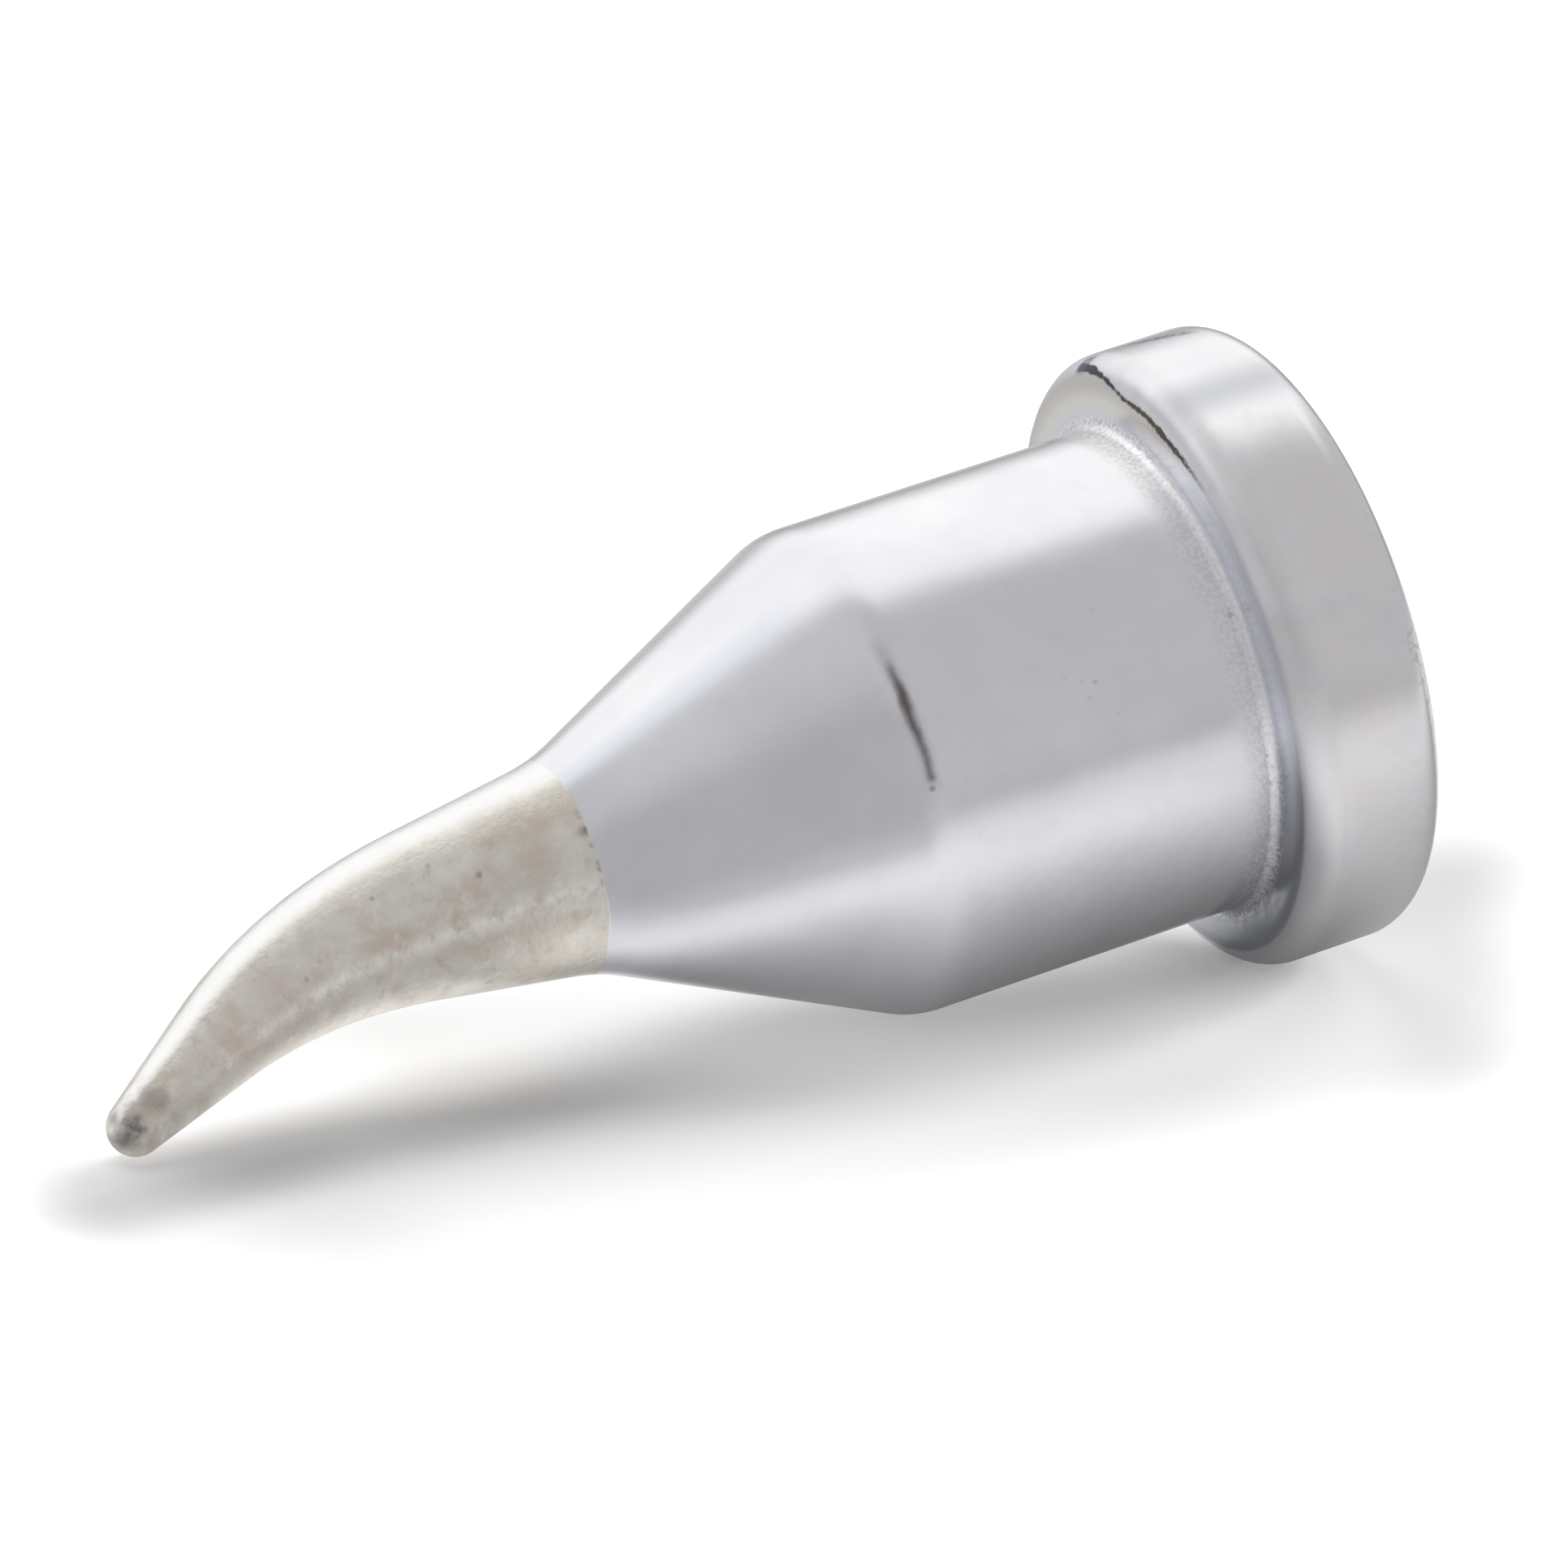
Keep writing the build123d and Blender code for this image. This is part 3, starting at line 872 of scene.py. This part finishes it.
def paper_glow(sheet, rightward, backward):
    """How far the paper is lifted towards white for the camera. It paints the shadow: the lift is low near
    the tip, least along the core of the shadow, and full white away from it.
    """
    across = sheet.sub(backward, sheet.mul(rightward, 0.25))
    near_tip = sheet.add(
        sheet.ramp(rightward, -7.5, -9.5, 0.35, 0.45),
        sheet.ramp(rightward, 1.0, 5.0, 0.0, -0.06),
        sheet.ramp(rightward, 5.0, 10.5, 0.0, -0.36),
    )
    # Painted shadow: the lift taken down along the core of the shadow band
    core = sheet.mul(
        sheet.band(across, -1.05, 0.8, 0.7),
        sheet.ramp(rightward, 0.5, -3.5),
        sheet.ramp(rightward, -5.5, -7.5, 0.13, 0.23),
    )
    # Painted light: the paper lifted more just behind the nose
    painted_light_behind_nose = sheet.mul(sheet.ramp(across, 0.0, 1.2), sheet.ramp(rightward, -3.5, -6.0), 0.15)
    in_front = sheet.ramp(across, -1.8, -3.6, 0.0, sheet.ramp(rightward, -7.5, -5.5, -0.02, 0.06))
    glow = sheet.add(sheet.sub(near_tip, core), painted_light_behind_nose, in_front)
    right_edge = sheet.sub(rightward, sheet.mul(backward, 0.54))
    off_shadow = sheet.add(
        sheet.ramp(rightward, -9.6, -12.0),
        sheet.ramp(right_edge, 10.4, 14.5),
        sheet.ramp(backward, -5.0, -13.0),
        sheet.ramp(backward, 1.5, 8.0),
    )
    return mixed(sheet, sheet.least(off_shadow, 1.0), glow, 1.0, "FLOAT")


def pale_floor():
    """White paper under the tip, with a painted shadow for the camera and a painted look, shadow included, in
    what the metal mirrors.
    """
    material, sheet = finish_sheet("pale_floor")
    path = sheet.node("ShaderNodeLightPath").outputs
    floor_place = sheet.parts(sheet.node("ShaderNodeTexCoord").outputs["Object"])
    rightward, backward = (sheet.mul(part, 1 / MM) for part in floor_place[:2])
    paint = sheet.node("ShaderNodeBsdfDiffuse", Color=PAPER_WHITE).outputs[0]
    lift = sheet.mul(path["Is Camera Ray"], paper_glow(sheet, rightward, backward))
    glow = sheet.node("ShaderNodeEmission", Color=WHITE, Strength=lift).outputs[0]
    seen = sheet.node("ShaderNodeAddShader", i0=paint, i1=glow).outputs[0]
    level = mirrored_floor(sheet, rightward, backward)
    in_metal = sheet.node("ShaderNodeEmission", Color=WHITE, Strength=level).outputs[0]
    mirrored = sheet.most(path["Is Glossy Ray"], path["Is Transmission Ray"])
    both = sheet.node("ShaderNodeMixShader", Fac=mirrored, i1=seen, i2=in_metal).outputs[0]
    sheet.node("ShaderNodeOutputMaterial", Surface=both)
    mesh = bpy.data.meshes.new("pale_floor")
    sides = ((-1, -1), (1, -1), (1, 1), (-1, 1))
    mesh.from_pydata([(x * FLOOR_REACH, y * FLOOR_REACH, 0) for x, y in sides], [], [(0, 1, 2, 3)])
    mesh.materials.append(material)
    floor = bpy.data.objects.new("pale_floor", mesh)
    bpy.context.scene.collection.objects.link(floor)


def room_level(sheet, toward):
    """How bright the room looks in the metal in each direction."""
    rightward, backward, upward = sheet.parts(toward)
    dark_gap = sheet.mul(
        sheet.band(upward, 0.03, 0.07, 0.07),
        sheet.ramp(backward, 0.2, 0.5),
        sheet.ramp(rightward, 0.1, 0.3),
        0.55,
    )
    walls = sheet.mul(sheet.ramp(rightward, -0.75, 0.35, 0.56, 0.665), sheet.sub(1.0, dark_gap))
    left_wall = sheet.ramp(rightward, -0.72, -0.96, 0.0, 0.13)
    high_left = sheet.mul(sheet.ramp(upward, 0.45, 0.8), sheet.ramp(rightward, 0.05, -0.6), 0.16)
    left_panel = sheet.mul(
        sheet.band(upward, 0.59, 0.14, 0.06),
        sheet.ramp(rightward, -0.52, -0.68),
        sheet.ramp(backward, -0.06, 0.12),
        0.5,
    )
    low_left = sheet.mul(
        sheet.band(upward, 0.10, 0.08, 0.05),
        sheet.ramp(rightward, -0.3, -0.5),
        sheet.ramp(backward, 0.35, 0.55),
        0.3,
    )
    return sheet.add(walls, left_wall, low_left, high_left, left_panel)


def studio_air():
    """White behind the object, and the grey of the room in what the metal mirrors."""
    world = bpy.data.worlds.new("studio_air")
    bpy.context.scene.world = world
    world.use_nodes = True
    world.node_tree.nodes.clear()
    sheet = Sheet(world.node_tree)
    path = sheet.node("ShaderNodeLightPath").outputs
    level = room_level(sheet, sheet.node("ShaderNodeTexCoord").outputs["Generated"])
    room = sheet.node("ShaderNodeBackground", Color=ROOM_WHITE, Strength=level).outputs[0]
    fill = sheet.node("ShaderNodeBackground", Color=WHITE, Strength=FILL_LEVEL).outputs[0]
    white = sheet.node("ShaderNodeBackground", Color=WHITE, Strength=1.0).outputs[0]
    lit = sheet.node("ShaderNodeMixShader", Fac=path["Is Glossy Ray"], i1=fill, i2=room).outputs[0]
    shown = sheet.node("ShaderNodeMixShader", Fac=path["Is Camera Ray"], i1=lit, i2=white).outputs[0]
    sheet.node("ShaderNodeOutputWorld", Surface=shown)


def direction(azimuth, elevation):
    """Unit vector towards a place seen from the object: azimuth 0 is -Y and 90 is +X."""
    a, e = radians(azimuth), radians(elevation)
    return Vector((sin(a) * cos(e), -cos(a) * cos(e), sin(e)))


def soft_lamp(name, azimuth, elevation, distance, width, height, radiance, lean=0.0):
    """A flat rectangular lamp that faces the object, leant over in its own plane."""
    lamp = bpy.data.lights.new(name, "AREA")
    lamp.shape = "RECTANGLE"
    lamp.size, lamp.size_y = width, height
    lamp.energy = radiance * pi * width * height
    lamp.color = FLOOR_LAMP_COLOUR
    placed = bpy.data.objects.new(name, lamp)
    bpy.context.scene.collection.objects.link(placed)
    toward = direction(azimuth, elevation)
    placed.location = toward * distance
    facing = toward.to_track_quat("Z", "Y").to_matrix() @ Matrix.Rotation(radians(lean), 3, "Z")
    placed.rotation_euler = facing.to_euler()
    return placed


def floor_lamp(name, *place_and_light):
    """A lamp for the floor and its shadow, which the metal does not mirror."""
    soft_lamp(name, *place_and_light).visible_glossy = False


def mirrored_lamp(name, *place_and_light, lean, edge):
    """A lamp that the metal mirrors, dimmer towards its edges, which does not light the floor."""
    placed = soft_lamp(name, *place_and_light, lean=lean)
    placed.visible_diffuse = False
    lamp = placed.data
    lamp.color = MIRRORED_LAMP_COLOUR
    lamp.use_nodes = True
    sheet = Sheet(lamp.node_tree)
    across = sheet.parts(sheet.node("ShaderNodeNewGeometry").outputs["Parametric"])
    inside = [sheet.sub(0.5, sheet.sum("ABSOLUTE", sheet.sub(part, 0.5))) for part in across[:2]]
    dimmed = sheet.mul(*(sheet.ramp(depth, 0.0, edge) for depth in inside))
    sheet.wire(dimmed, lamp.node_tree.nodes["Emission"].inputs["Strength"])


def photo_camera():
    """The camera of the photo, leant a little about its own line of sight."""
    lens = bpy.data.cameras.new("photo_camera")
    lens.sensor_width = SENSOR_WIDTH
    lens.lens = FOCAL_PIXELS / PHOTO_PIXELS * SENSOR_WIDTH
    lens.clip_start, lens.clip_end = 0.01, 10.0
    camera = bpy.data.objects.new("photo_camera", lens)
    bpy.context.scene.collection.objects.link(camera)
    azimuth, lean = radians(CAMERA_AZIMUTH), radians(CAMERA_LEAN)
    back = direction(CAMERA_AZIMUTH, CAMERA_ELEVATION)
    right = Vector((cos(azimuth), sin(azimuth), 0.0))
    up = back.cross(right)
    right, up = right * cos(lean) + up * sin(lean), up * cos(lean) - right * sin(lean)
    turned = Matrix((right, up, back)).transposed().to_4x4()
    camera.matrix_world = Matrix.Translation(Vector(CAMERA_PLACE)) @ turned
    bpy.context.scene.camera = camera


pale_floor()
studio_air()

# Each lamp's azimuth and elevation, then its distance, width and height in metres, and its radiance
mirrored_lamp("back_softbox", 173, 49, 0.4, 0.93, 0.70, 0.64, lean=-14, edge=0.25)
floor_lamp("right_lamp", 90, 15, 0.5, 0.12, 0.2, 46.4)
floor_lamp("back_lamp", 180, 50, 0.5, 0.4, 0.4, 1.94)
floor_lamp("back_right_lamp", 125, 20, 0.5, 0.25, 0.25, 9.6)
photo_camera()
bpy.context.scene.view_settings.view_transform = "Standard"
